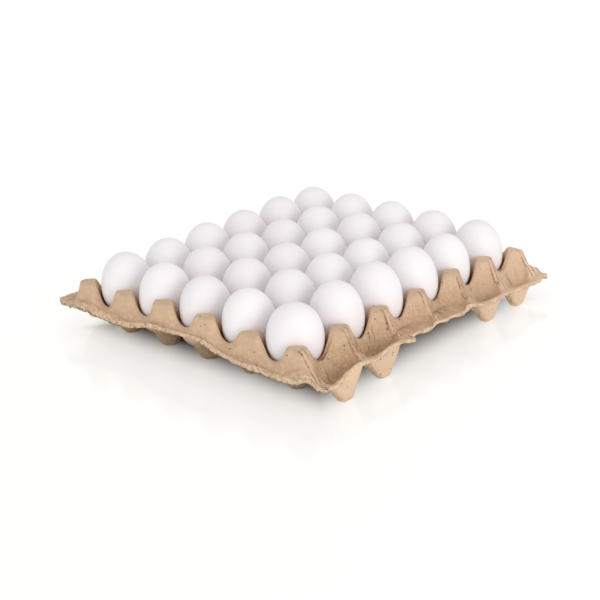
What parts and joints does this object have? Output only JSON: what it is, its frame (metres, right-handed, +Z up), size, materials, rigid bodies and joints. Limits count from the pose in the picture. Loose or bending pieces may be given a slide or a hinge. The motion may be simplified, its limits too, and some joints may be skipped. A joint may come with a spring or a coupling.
{
  "type": "pulp tray of eggs",
  "caption": "Open moulded pulp tray with rows of pyramid posts and cups, filled with white hen's eggs standing point up, with half cups and finger gaps along two sides.",
  "frame": {"origin": "middle of the footprint, on the surface that the tray stands on", "axes": "+Z up, +X along the longer rows of eggs, +Y along the shorter rows"},
  "size_m": [0.302, 0.299, 0.0729],
  "materials": {
    "moulded_pulp": "matt, fibrous",
    "eggshell": "smooth, low sheen"
  },
  "bodies": {
    "root": {"tray": "moulded_pulp", "egg_1_1": "eggshell", "egg_1_2": "eggshell", "egg_1_3": "eggshell", "egg_1_4": "eggshell", "egg_1_5": "eggshell", "egg_1_6": "eggshell", "egg_2_1": "eggshell", "egg_2_2": "eggshell", "egg_2_3": "eggshell", "egg_2_4": "eggshell", "egg_2_5": "eggshell", "egg_2_6": "eggshell", "egg_3_1": "eggshell", "egg_3_2": "eggshell", "egg_3_3": "eggshell", "egg_3_4": "eggshell", "egg_3_5": "eggshell", "egg_3_6": "eggshell", "egg_4_1": "eggshell", "egg_4_2": "eggshell", "egg_4_3": "eggshell", "egg_4_4": "eggshell", "egg_4_5": "eggshell", "egg_4_6": "eggshell", "egg_5_1": "eggshell", "egg_5_2": "eggshell", "egg_5_3": "eggshell", "egg_5_4": "eggshell", "egg_5_5": "eggshell", "egg_5_6": "eggshell"}
  },
  "joints": []
}
